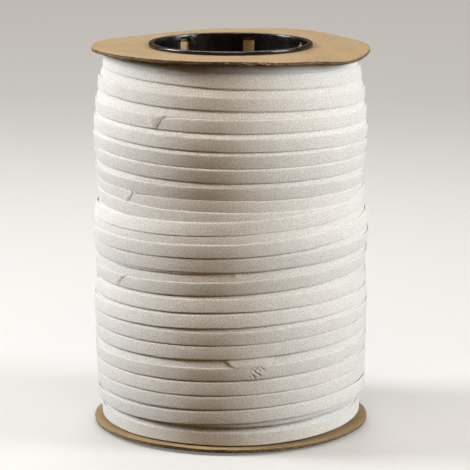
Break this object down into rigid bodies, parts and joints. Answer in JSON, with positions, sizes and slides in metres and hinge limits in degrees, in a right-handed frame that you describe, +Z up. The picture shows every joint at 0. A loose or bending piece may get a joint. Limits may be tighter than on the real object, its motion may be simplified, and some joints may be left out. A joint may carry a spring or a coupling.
{
  "type": "roll of bias tape",
  "caption": "Roll of folded cotton bias tape, wound on a paper tube between two chipboard flanges with black plastic hubs.",
  "frame": {"origin": "centre of the lower hub's lip, on the surface the roll stands on", "axes": "+Z up along the roll's axis, -Y the front as pictured, +X to the right"},
  "size_m": [0.18, 0.18, 0.251],
  "materials": {
    "cotton_tape": "woven, matte",
    "kraft_board": "matte",
    "tube_paper": "matte",
    "black_plastic": "gloss"
  },
  "bodies": {
    "root": {"wound_tape": "cotton_tape", "core_tube": "tube_paper", "top_flange": "kraft_board", "bottom_flange": "kraft_board", "top_hub": "black_plastic", "bottom_hub": "black_plastic"}
  },
  "joints": []
}
